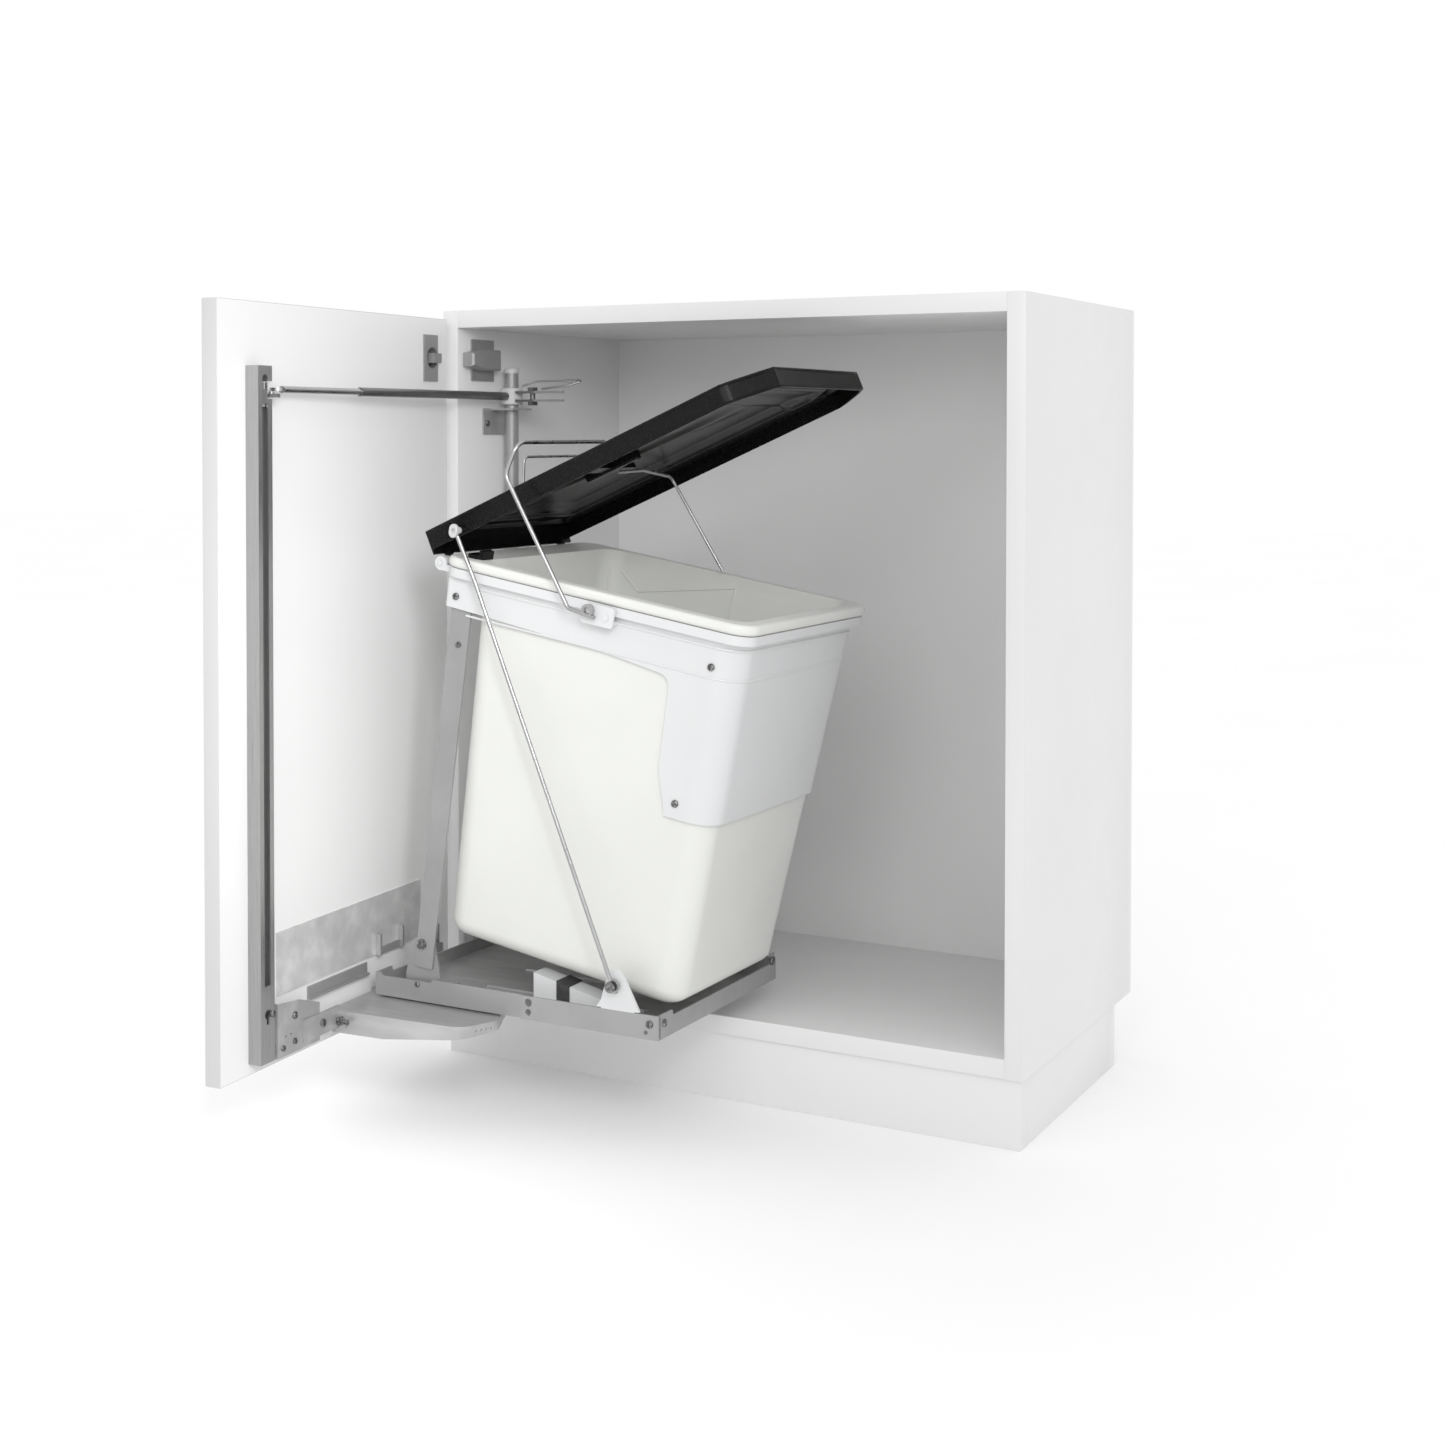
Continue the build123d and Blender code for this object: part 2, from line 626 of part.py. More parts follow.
def bin_holder():
    """The white holder: a band round the bucket's top with a deep cover on its right."""
    outer = tapered(COVER_LOW, HOLDER_TOP, 4, 27, HOLDER_LEFT, 5)
    inner = tapered(COVER_LOW, HOLDER_TOP, 1, 25, HOLDER_LEFT + WALL, 2.5)
    holder = outer - inner
    below = Plane(origin=(0, 200, 0), x_dir=(1, 0, 0), z_dir=(0, -1, 0))
    opening = [
        (-300, 300),
        (10, 300),
        (10, COVER_LOW + 6),
        (0, COVER_LOW + 40),
        (0, BAND_LOW - 4),
        (-60, BAND_LOW + 2),
        (-213, BAND_LOW + 8),
        (-300, BAND_LOW + 10),
    ]
    cut = slab(opening, below, 500)
    cut = fillet(cut.edges().filter_by(Axis.Y).sort_by_distance((0, -50, BAND_LOW - 4))[0], 12)
    holder -= cut
    flange = rim_slab(524, HOLDER_TOP, 1.5, 21) - extrude(outline_at(HOLDER_TOP, 1, 25), -20)
    flange -= block((-260, -221.5), (-170, 66), (500, 540))
    holder += flange & block((-250, 100), (-300, 300), (520, 540))
    for x, z in HOLDER_SCREWS:
        y = bucket_wall(z)[2] - 4
        holder -= shank_hole((x, y, z), (0, -1, 0), 3.5, 3)
    return holder


HOLDER_SCREWS = [(40, 499), (21, 368), (-238, 505)]
BAR_Y = ((-173, -170.4), (54, 56.6))


def upright_bar(y):
    """A flat bar from the tray's lug to the holder's left end."""
    outline = [(-230, 141), (-210, 143), (-223, 520), (-246, 520)]
    bar = slab(outline, Plane(origin=(0, y[1], 0), x_dir=(1, 0, 0), z_dir=(0, -1, 0)), y[1] - y[0])
    bar = fillet(bar.edges().filter_by(Axis.Y).group_by(Axis.Z)[0], 3)
    bar -= peg((TILT_PIVOT[0], y[0] - 1, TILT_PIVOT[1]), (0, 1, 0), 3 + RUNNING, 6)
    return bar - peg((-231, y[0] - 1, 459), (0, 1, 0), 2.2, 6)


def bin_screws():
    """The screws of the holder and the bars, with the bars' lower pivot bolts."""
    screws = []
    for x, z in HOLDER_SCREWS:
        screws.append(screw((x, bucket_wall(z)[2] - 4.4, z), (0, -1, 0), 3.5, 1.5))
    screws.append(screw((-231, BAR_Y[0][0], 459), (0, -1, 0), 3, 2))
    x0, z0 = TILT_PIVOT
    near = peg((x0, LUG_Y[0] + 1, z0), (0, -1, 0), 3, 8)
    near += peg((x0, BAR_Y[0][0] - 0.1, z0), (0, -1, 0), 5, 2)
    far = peg((x0, BAR_Y[1][0] - 2.1, z0), (0, 1, 0), 3, 7.2)
    far += peg((x0, BAR_Y[1][0] - 0.1, z0), (0, -1, 0), 5, 2)
    return Compound(screws + [near, far])


def bail_brackets():
    """The plate under the near rim that the bail hooks into."""
    plate = block((-92, -58), (-190.5, -188.5), (513, 532))
    plate = fillet(plate.edges().filter_by(Axis.Y), 3)
    foot = block((-90, -60), (-188.5, bucket_wall(518)[2] - 4.3), (515, 519))
    pin = peg((-82, -190.5, 526), (0, -1, 0), 3.4, 2.6)
    return plate + foot + pin + peg((-66, -190.5, 522), (0, -1, 0), 3.2, 1.5)


def hinge_bosses():
    """The lid's hinge: a boss and its pin on each end of the holder's left wall."""
    bosses = []
    for y0, y1, pin in ((-170, -160, (-172, -150)), (54, 64, (44, 66))):
        boss = peg((LID_PIVOT[0], y0, LID_PIVOT[1]), (0, 1, 0), 6.8, y1 - y0)
        arm = block((LID_PIVOT[0], HOLDER_LEFT), (y0, y1), (LID_PIVOT[1] - 6.5, LID_PIVOT[1] - 0.5))
        stem = peg((LID_PIVOT[0], pin[0], LID_PIVOT[1]), (0, 1, 0), 2.5, pin[1] - pin[0])
        bosses.append(boss + arm + stem)
    return Compound(bosses)


def rim_hook():
    """The dark latch hook on the rim's left shelf."""
    hook = block((-236, -222), (-172, -150), (BIN_TOP, BIN_TOP + 4))
    lip = block((-224, -219), (-170, -152), (BIN_TOP, BIN_TOP + 9))
    return fillet(hook.edges().filter_by(Axis.Z), 3) + fillet(lip.edges().group_by(Axis.Z)[-1], 1.5)


# --- bail and lid ---------------------------------------------------------------------
BAIL_PIVOT = (-82, 526)


def bail():
    """The wire bail: a near leg, a crossbar over the lid, and a short hooked end."""
    y = -196.5
    points = [
        (-74, y, 521),
        (-103, y, 523.5),
        (-190, y, 631),
        (-182, y, 663),
        (-182, -34, 663),
        (-190, -30, 640),
    ]
    eye = peg((BAIL_PIVOT[0], y + 2, BAIL_PIVOT[1]), (0, -1, 0), 6, 4)
    eye -= peg((BAIL_PIVOT[0], y + 3, BAIL_PIVOT[1]), (0, -1, 0), 3.45, 6)
    return wire(points, 2, [7, 12, 12, 9]) + eye


def lid_outline(inset):
    """The lid's outline with its cut free corners, inset by a margin."""
    x0, x1 = LID_X[0] + inset, LID_X[1] - inset
    y0, y1 = LID_Y[0] + inset, LID_Y[1] - inset
    cut = 40 - inset * 0.6
    points = [(x0, y0), (x1 - cut, y0), (x1, y0 + cut * 0.8), (x1, y1 - cut * 0.8), (x1 - cut, y1), (x0, y1)]
    face = make_face(Polyline(*points, close=True))
    return fillet(face.vertices().group_by(Axis.X)[-2], 18)


def lid():
    """The black lid: a flat pan with a deep skirt, a stepped recess and two hinge lugs."""
    top = Plane.XY.offset(LID_TOP)
    pan = extrude(top * lid_outline(0), -LID_SKIRT)
    pan -= extrude(Plane.XY.offset(LID_TOP - WALL) * lid_outline(WALL), -LID_SKIRT)
    raised = loft([top * lid_outline(30), Plane.XY.offset(LID_TOP + 4) * lid_outline(36)])
    under = Plane.XY.offset(LID_TOP - WALL - 0.01)
    hollow = loft([under * lid_outline(32), Plane.XY.offset(LID_TOP + 1.5) * lid_outline(38)])
    pan = pan + raised - hollow
    pan += block((LID_X[0], LID_X[0] + WALL), LID_Y, (LID_TOP - 24, LID_TOP - LID_SKIRT + 1))
    for y in (-158.5, 45):
        lug = block((LID_X[0], LID_X[0] + 7.5), (y, y + 4), (LID_PIVOT[1], LID_TOP - WALL + 0.5))
        lug += peg((LID_PIVOT[0], y, LID_PIVOT[1]), (0, 1, 0), 6.8, 4)
        pan += lug
        pan -= peg((LID_PIVOT[0], y - 1, LID_PIVOT[1]), (0, 1, 0), 2.5 + RUNNING, 6)
    return pan


CLIP_AT = (-229.5, 550.5)


def lid_clip():
    """The light grey oval clip on the near skirt that the lid's rod hooks into."""
    place = Plane(origin=(CLIP_AT[0], LID_Y[0] - 7, CLIP_AT[1]), x_dir=(1, 0, 0), z_dir=(0, -1, 0))
    oval = extrude(place * SlotOverall(13, 9, rotation=57), 3)
    oval -= peg((CLIP_AT[0], LID_Y[0] - 11, CLIP_AT[1]), (0, 1, 0), 2.2, 6)
    stem = peg((CLIP_AT[0], LID_Y[0], CLIP_AT[1]), (0, -1, 0), 3.4, 7)
    return fillet(oval.faces().sort_by(Axis.Y)[0].edges(), 0.8) + stem


UNDER_Z = LID_TOP + 1.5


def lid_centre_clip():
    """The black cross-shaped clip under the lid that the stay wire hangs from."""
    bar = block((-132, -72), (-86, -76), (UNDER_Z - 9, UNDER_Z))
    arm = block((-112, -100), (-112, -40), (UNDER_Z - 7, UNDER_Z))
    return fillet(bar.edges().group_by(Axis.Z)[0], 2) + arm


def lid_wire_loop():
    """The thin wire grip on top of the lid."""
    x, low, high = -168, LID_TOP + 4.1, LID_TOP + 31
    points = [
        (x, -138, low),
        (x, -138, low + 4),
        (x + 11, -138, high),
        (x + 11, 20, high),
        (x, 20, low + 4),
        (x, 20, low),
    ]
    return wire(points, 1.3, [2, 6, 6, 2])


def lid_rod():
    """The long rod from the tray's ear to the lid's clip, bent near its top."""
    x, z = ROD_PIN
    y = TRAY_Y[0] - SHEET - 4.6
    points = [(x - 2.2, y, z + 5), (-150, -191.5, 518), (-170, -190.8, 560)]
    eye = peg((x, y + 2, z), (0, -1, 0), 6.5, 4) - peg((x, y + 3, z), (0, -1, 0), 2.95, 6)
    return wire(points, 2, 30) + eye


STAY_HINGE = (-52, 620)


def lid_stay():
    """The bent wire that hangs under the lid and props it from the far rim."""
    x, z = STAY_HINGE
    points = [(x, -94, z), (x - 4, -38, z + 1), (x - 18, 44, z - 7), (x + 34, 58, z - 102)]
    return wire(points, 1.6, [20, 8])


# --- write everything -----------------------------------------------------------------
CABINET = {
    "side_panel_left": side_panel(-1),
    "side_panel_right": side_panel(1),
    "top_panel": shelf_panel(TOP_Z - BOARD),
    "bottom_panel": shelf_panel(PLINTH_HEIGHT),
    "back_panel": back_panel(),
    "hinge_arms": hinge_arms(),
    "pole": pole(),
    "pole_cap": pole_cap(),
    "pole_foot": pole_foot(),
    "pole_bracket": pole_bracket(),
    "bracket_screws": bracket_screws(),
    **plinth_boards(),
}
STAY = {
    "clamp_ring": clamp_ring(),
    "clamp_plates": clamp_plates(),
    "clamp_bolt": clamp_bolt(),
    "spring_wire": spring_wire(),
    "stay_tube": stay_tube(),
    "stay_rod": stay_rod(),
}
DOOR = {
    "door_panel": door_panel(),
    "hinge_cups": hinge_cups(),
    "door_channel": door_channel(),
    "stay_shoe": stay_shoe(),
    "kick_plate": kick_plate(),
    "corner_bracket": corner_bracket(),
    "arm_bracket": arm_bracket(),
    "support_arm": support_arm(),
    "turn_pin": turn_pin(),
    "angle_bar": angle_bar(),
    "guide_ears": guide_ears(),
    "door_screws": door_screws(),
}
TRAY = {name: shape - rail_bolt_holes() for name, shape in tray_rails().items()}
TRAY.update(
    {
        "tray_plate": tray_plate(),
        "pivot_lugs": pivot_lugs(),
        "rod_bracket": rod_bracket(),
        "rail_bolts": rail_bolts(),
        "rest_block": rest_block(),
        "rest_band": rest_band(),
        "lid_rod": lid_rod(),
        "lid_stay": lid_stay(),
    }
)
BIN = {
    "bucket": bucket(),
    "bin_holder": bin_holder(),
    "upright_bar_near": upright_bar(BAR_Y[0]),
    "upright_bar_far": upright_bar(BAR_Y[1]),
    "bin_screws": bin_screws(),
    "bail_brackets": bail_brackets(),
    "hinge_bosses": hinge_bosses(),
    "rim_hook": rim_hook(),
    "bail": bail(),
}
LID = {
    "lid": lid(),
    "lid_clip": lid_clip(),
    "lid_centre_clip": lid_centre_clip(),
    "lid_wire_loop": lid_wire_loop(),
}

for name, shape in {**CABINET, **STAY, **TRAY}.items():
    save(name, shape)
for name, shape in DOOR.items():
    save(name, opened(shape))
for name, shape in BIN.items():
    save(name, tilted(shape))
for name, shape in LID.items():
    save(name, lifted(shape))
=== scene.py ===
import json
import math

import bmesh
import bpy
from mathutils import Matrix, Vector


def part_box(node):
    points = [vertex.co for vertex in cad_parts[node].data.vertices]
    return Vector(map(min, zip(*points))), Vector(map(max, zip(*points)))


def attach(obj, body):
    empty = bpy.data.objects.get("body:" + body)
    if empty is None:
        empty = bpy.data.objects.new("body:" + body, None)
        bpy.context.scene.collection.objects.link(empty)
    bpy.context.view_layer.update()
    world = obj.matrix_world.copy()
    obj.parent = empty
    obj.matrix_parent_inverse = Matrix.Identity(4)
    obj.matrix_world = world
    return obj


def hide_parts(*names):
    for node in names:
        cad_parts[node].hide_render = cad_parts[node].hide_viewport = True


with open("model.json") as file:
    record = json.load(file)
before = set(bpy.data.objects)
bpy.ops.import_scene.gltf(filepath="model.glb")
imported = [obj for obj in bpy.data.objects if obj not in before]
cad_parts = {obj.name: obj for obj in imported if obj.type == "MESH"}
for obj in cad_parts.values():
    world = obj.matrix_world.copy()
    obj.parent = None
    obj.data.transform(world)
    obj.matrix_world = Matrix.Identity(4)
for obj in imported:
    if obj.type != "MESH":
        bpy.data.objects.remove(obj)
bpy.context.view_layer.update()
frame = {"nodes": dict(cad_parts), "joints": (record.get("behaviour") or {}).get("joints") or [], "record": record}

# --- places, in millimetres unless they come from the frame ---------------------------------
MM = 0.001
FRONT = 152.5  # the cabinet's front plane stands this far in front of the frame's origin
DOOR_OPEN = 86
BIN_TILT = 9.6
LID_OPEN = 33
LID_PIVOT = (-265.8, 531.3)  # in x and z, on the upright bin

JOINTS = {joint["name"]: joint for joint in frame["joints"]}
DOOR_AT = Vector(JOINTS["door_hinge"]["pos_m"])
TILT_AT = Vector(JOINTS["bin_tilt"]["pos_m"])
LID_AT = Vector(JOINTS["lid_hinge"]["pos_m"])


def world_place(x, y, z):
    """A point drawn from the cabinet's front plane, in metres in the frame."""
    return Vector((x * MM, (y - FRONT) * MM, z * MM))


def door_place(x, y, z):
    """A point drawn on the closed door, as it stands on the open door."""
    turn = Matrix.Rotation(math.radians(-DOOR_OPEN), 4, "Z")
    return turn @ (world_place(x, y, z) - DOOR_AT) + DOOR_AT


def bin_place(x, y, z):
    """A point drawn on the upright bin, as it stands on the tilted bin."""
    turn = Matrix.Rotation(math.radians(BIN_TILT), 4, "Y")
    return turn @ (world_place(x, y, z) - TILT_AT) + TILT_AT


def lid_place(x, y, z):
    """A point drawn on the shut lid of the upright bin, as it stands on the open lid."""
    hinge = Vector((LID_PIVOT[0] * MM, LID_AT.y, LID_PIVOT[1] * MM))
    turn = Matrix.Rotation(math.radians(BIN_TILT - LID_OPEN), 4, "Y")
    return turn @ (world_place(x, y, z) - hinge) + LID_AT


# --- materials -------------------------------------------------------------------------------
class Look:
    """A principled material whose colour, roughness and bump come from procedural nodes."""

    def __init__(self, name, metallic=0.0, coat=0.0, specular=0.5, coat_rough=0.1):
        self.material = bpy.data.materials.new(name)
        self.material.use_nodes = True
        self.tree = self.material.node_tree
        self.shader = self.tree.nodes["Principled BSDF"]
        self.shader.inputs["Metallic"].default_value = metallic
        self.shader.inputs["Coat Weight"].default_value = coat
        self.shader.inputs["Coat Roughness"].default_value = coat_rough
        self.shader.inputs["Specular IOR Level"].default_value = specular
        self.height = None

    def link(self, source, target):
        """Joins one socket to another."""
        self.tree.links.new(source, target)

    def coords(self, stretch=(1, 1, 1)):
        """Object coordinates, stretched so that grain can run one way."""
        place = self.tree.nodes.new("ShaderNodeTexCoord")
        mapping = self.tree.nodes.new("ShaderNodeMapping")
        mapping.inputs["Scale"].default_value = stretch
        self.link(place.outputs["Object"], mapping.inputs["Vector"])
        return mapping.outputs["Vector"]

    def noise(self, scale, detail=3.0, stretch=(1, 1, 1), rough=0.5):
        """A noise pattern; its scale is in repeats per metre."""
        node = self.tree.nodes.new("ShaderNodeTexNoise")
        node.inputs["Scale"].default_value = scale
        node.inputs["Detail"].default_value = detail
        node.inputs["Roughness"].default_value = rough
        self.link(self.coords(stretch), node.inputs["Vector"])
        return node.outputs["Fac"]

    def ramp(self, value, stops):
        """A colour ramp over (position, colour) stops."""
        node = self.tree.nodes.new("ShaderNodeValToRGB")
        elements = node.color_ramp.elements
        while len(elements) < len(stops):
            elements.new(0.5)
        for element, (position, colour) in zip(elements, stops):
            element.position = position
            element.color = (*colour, 1)
        self.link(value, node.inputs["Fac"])
        return node.outputs["Color"]

    def colour(self, value, stops):
        """Lets a pattern drive the base colour."""
        self.link(self.ramp(value, stops), self.shader.inputs["Base Color"])

    def roughness(self, value, low, high):
        """Lets a pattern drive the roughness between two values."""
        node = self.tree.nodes.new("ShaderNodeMapRange")
        node.inputs["From Min"].default_value = 0.3
        node.inputs["From Max"].default_value = 0.7
        node.inputs["To Min"].default_value = low
        node.inputs["To Max"].default_value = high
        self.link(value, node.inputs["Value"])
        self.link(node.outputs["Result"], self.shader.inputs["Roughness"])

    def bump(self, value, strength, distance=0.0005):
        """Adds a bump on top of those already there."""
        node = self.tree.nodes.new("ShaderNodeBump")
        node.inputs["Strength"].default_value = strength
        node.inputs["Distance"].default_value = distance
        self.link(value, node.inputs["Height"])
        if self.height:
            self.link(self.height, node.inputs["Normal"])
        self.height = node.outputs["Normal"]
        self.link(self.height, self.shader.inputs["Normal"])


def grey(value, warm=0.0):
    """A near-neutral colour."""
    return (value + warm, value, value - warm)


def melamine():
    """Satin white melamine: faint cloudiness and a fine orange-peel press texture."""
    look = Look("melamine", coat=0.15, coat_rough=0.25)
    look.colour(look.noise(5, 2), [(0.3, grey(0.69)), (0.7, grey(0.715, 0.001))])
    look.roughness(look.noise(30, 4), 0.32, 0.44)
    look.bump(look.noise(900, 2), 0.05, 0.0001)
    look.bump(look.noise(14, 1), 0.02, 0.001)
    return look.material


def edge_band(painted_lighting_scale=1.0):
    """The edge band: plain and a little smoother than the board; the scale argument darkens or brightens its whole
    colour, and below 1 it paints shade onto the band.
    """
    look = Look("edge_band", coat=0.2, coat_rough=0.2)
    look.colour(look.noise(6, 2), [(0.3, grey(0.67 * painted_lighting_scale)), (0.7, grey(0.69 * painted_lighting_scale))])
    look.roughness(look.noise(40, 2), 0.28, 0.36)
    look.bump(look.noise(900, 2), 0.02, 0.0001)
    return look.material


def zinc_steel(painted_lighting_scale=1.0):
    """Galvanised sheet with soft rolled streaks; the scale argument brightens its whole colour, and above 1 it
    paints light onto a sheet that stands in shade.
    """
    look = Look("zinc_steel", metallic=0.6)
    streaks = look.noise(9, 4, (1, 5, 5), 0.5)
    look.colour(streaks, [(0.3, grey(0.29 * painted_lighting_scale)), (0.5, grey(0.33 * painted_lighting_scale)), (0.7, grey(0.41 * painted_lighting_scale))])
    look.roughness(look.noise(22, 4, (1, 6, 6)), 0.30, 0.46)
    look.bump(look.noise(60, 3, (1, 8, 8)), 0.04, 0.0002)
    look.bump(look.noise(12, 2), 0.05, 0.001)
    return look.material


def grey_steel():
    """Grey lacquered steel: even and satin, with slight orange peel."""
    look = Look("grey_steel", metallic=0.45, coat=0.1, coat_rough=0.3)
    look.colour(look.noise(14, 3), [(0.3, grey(0.22)), (0.55, grey(0.245)), (0.75, grey(0.27))])
    look.roughness(look.noise(90, 4), 0.32, 0.48)
    look.bump(look.noise(700, 3), 0.08, 0.0002)
    look.bump(look.noise(60, 2), 0.05, 0.0004)
    return look.material


def brushed_aluminium():
    """Aluminium brushed along its length."""
    look = Look("channel_aluminium", metallic=0.9)
    grain = look.noise(40, 4, (40, 40, 0.6), 0.6)
    look.colour(grain, [(0.3, grey(0.26)), (0.5, grey(0.30)), (0.7, grey(0.35))])
    look.roughness(grain, 0.26, 0.42)
    look.bump(grain, 0.10, 0.0002)
    look.bump(look.noise(30, 2), 0.04, 0.0006)
    return look.material


def dark_steel():
    """Dark satin steel, a little clouded."""
    look = Look("dark_steel", metallic=0.95)
    clouds = look.noise(20, 3)
    look.colour(clouds, [(0.3, grey(0.09)), (0.7, grey(0.13))])
    look.roughness(clouds, 0.28, 0.38)
    look.bump(look.noise(900, 2), 0.03, 0.0001)
    return look.material


def bright_wire():
    """Zinc-plated wire with duller patches."""
    look = Look("bright_wire", metallic=1.0)
    look.colour(look.noise(30, 3), [(0.3, grey(0.30)), (0.6, grey(0.34)), (0.8, grey(0.40))])
    look.roughness(look.noise(60, 3), 0.24, 0.34)
    look.bump(look.noise(1500, 2), 0.02, 0.0001)
    return look.material


def screw_steel():
    """Blackened screw heads, worn bright on their high spots."""
    look = Look("screw_steel", metallic=0.85)
    look.colour(look.noise(420, 4), [(0.4, grey(0.05)), (0.6, grey(0.16)), (0.75, grey(0.40))])
    look.roughness(look.noise(300, 3), 0.25, 0.45)
    look.bump(look.noise(1200, 3), 0.12, 0.0002)
    return look.material


def plastic(name, low, high, rough, coat, cloud=8.0, peel=0.06):
    """Moulded plastic: faint flow clouds, fine grain and a soft gloss."""
    look = Look(name, coat=coat, coat_rough=0.18)
    look.colour(look.noise(cloud, 3), [(0.3, low), (0.7, high)])
    look.roughness(look.noise(40, 4), *rough)
    look.bump(look.noise(1300, 2), peel, 0.0002)
    look.bump(look.noise(16, 2), 0.05, 0.0012)
    return look.material


def black_plastic():
    """Glossy black moulding with slow waves and fine dust."""
    look = Look("black_plastic", specular=0.06)
    dust = look.noise(260, 6, rough=0.7)
    look.colour(dust, [(0.45, grey(0.0015)), (0.62, grey(0.0025)), (0.8, grey(0.008, 0.0005))])
    look.roughness(look.noise(9, 2), 0.18, 0.28)
    look.bump(look.noise(5, 1, (1, 1.6, 1)), 0.06, 0.002)
    look.bump(look.noise(900, 2), 0.03, 0.0002)
    return look.material


def rubber():
    """Matt black rubber."""
    look = Look("black_rubber", specular=0.3)
    look.colour(look.noise(200, 3), [(0.3, grey(0.010)), (0.7, grey(0.022))])
    look.roughness(look.noise(300, 3), 0.6, 0.8)
    look.bump(look.noise(1400, 2), 0.2, 0.0003)
    return look.material


LOOKS = {
    "melamine": melamine(),
    "zinc_steel": zinc_steel(),
    "grey_steel": grey_steel(),
    "channel_aluminium": brushed_aluminium(),
    "dark_steel": dark_steel(),
    "bright_wire": bright_wire(),
    "screw_steel": screw_steel(),
    "grey_plastic": plastic("grey_plastic", grey(0.42), grey(0.50), (0.35, 0.5), 0.1),
    "white_plastic": plastic(
        "white_plastic", (0.53, 0.535, 0.542), (0.565, 0.57, 0.577), (0.34, 0.46), 0.12
    ),
    "ivory_plastic": plastic(
        "ivory_plastic", (0.575, 0.585, 0.555), (0.615, 0.625, 0.59), (0.34, 0.48), 0.12
    ),
    "black_plastic": black_plastic(),
    "black_rubber": rubber(),
}
EDGE_BAND = edge_band()
KICK_SHEET_PAINTED_LIGHT = zinc_steel(2.2)  # for the kick plate: painted light, the same sheet 2.2 times brighter than the other sheet parts because the plate stands in shade
KICK_SHEET_PAINTED_LIGHT.name = "kick_sheet_painted_light"
# The door's bands: the same white band at 0.6 of its brightness, painted shade on edges that stand in shade.
DOOR_BAND_PAINTED_SHADE = edge_band(0.60)
DOOR_BAND_PAINTED_SHADE.name = "door_band"
SLOTS = {row["node"]: row["material_slot"] for row in frame["record"]["subparts"]}

for node_name, node in frame["nodes"].items():
    for slot in node.material_slots:
        slot.material = LOOKS[SLOTS[node_name]]
# The kick plate takes the brightened sheet, whose colour holds painted light.
for slot in frame["nodes"]["kick_plate"].material_slots:
    slot.material = KICK_SHEET_PAINTED_LIGHT


# --- mesh helpers ----------------------------------------------------------------------------
SHARP_ANGLE = 35


def piece(name, bm, body, slot, look=None):
    """Turns a bmesh into a smooth-shaded piece that rides on a body and has a finish."""
    mesh = bpy.data.meshes.new(name)
    bmesh.ops.recalc_face_normals(bm, faces=bm.faces)
    bm.to_mesh(mesh)
    bm.free()
    obj = bpy.data.objects.new(name, mesh)
    bpy.context.scene.collection.objects.link(obj)
    mesh.materials.append(look or LOOKS[slot])
    for polygon in mesh.polygons:
        polygon.use_smooth = True
    mesh.set_sharp_from_angle(angle=math.radians(SHARP_ANGLE))
    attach(obj, body)
    return obj


def add_box(bm, low, high, place, bevel):
    """Adds a box with rounded edges, drawn in millimetres and put through a place function."""
    made = bmesh.ops.create_cube(bm, size=1)
    for vert in made["verts"]:
        vert.co = Vector([low[i] if vert.co[i] < 0 else high[i] for i in range(3)])
    edges = list({edge for vert in made["verts"] for edge in vert.link_edges})
    rounded = bmesh.ops.bevel(
        bm, geom=edges, offset=bevel, segments=3, profile=0.5, affect="EDGES", clamp_overlap=True
    )
    verts = {vert for face in rounded["faces"] for vert in face.verts}
    verts |= {vert for vert in made["verts"] if vert.is_valid}
    for vert in verts:
        vert.co = place(*vert.co)


def tube(bm, points, radius, sides, closed=False):
    """Adds a round bead along points of the frame, with its radius in metres."""
    rings = []
    count = len(points)
    normal = None
    for i, point in enumerate(points):
        before = points[i - 1] if i or closed else points[i]
        after = points[(i + 1) % count] if i < count - 1 or closed else points[i]
        along = (after - before).normalized()
        if normal is None:
            normal = along.orthogonal().normalized()
        normal = (normal - along * normal.dot(along)).normalized()
        side = along.cross(normal)
        ring = []
        for k in range(sides):
            angle = 2 * math.pi * k / sides
            ring.append(bm.verts.new(point + (normal * math.cos(angle) + side * math.sin(angle)) * radius))
        rings.append(ring)
    last = count if closed else count - 1
    for i in range(last):
        here, there = rings[i], rings[(i + 1) % count]
        for k in range(sides):
            bm.faces.new((here[k], here[(k + 1) % sides], there[(k + 1) % sides], there[k]))
    if not closed:
        bm.faces.new(rings[0])
        bm.faces.new(rings[-1])


def rounded_outline(x0, x1, y0, y1, radius, steps=8):
    """Points round a rectangle with rounded corners, counter-clockwise, in its own plane."""
    points = []
    corners = [(x1, y1, 0), (x0, y1, 90), (x0, y0, 180), (x1, y0, 270)]
    for x, y, start in corners:
        cx = x - math.copysign(radius, x - (x0 + x1) / 2)
        cy = y - math.copysign(radius, y - (y0 + y1) / 2)
        for k in range(steps + 1):
            angle = math.radians(start + 90 * k / steps)
            points.append((cx + radius * math.cos(angle), cy + radius * math.sin(angle)))
    return points


# --- boards ----------------------------------------------------------------------------------
BAND = 0.6
BOARD_EDGE = 0.5
BAND_EDGE = 0.28
DOOR_X, DOOR_Y, DOOR_Z = (-320, 68), (-18, -2), (78, 776)


def to_mm(point):
    """A frame point in millimetres from the cabinet's front plane."""
    return (point[0] / MM, point[1] / MM + FRONT, point[2] / MM)


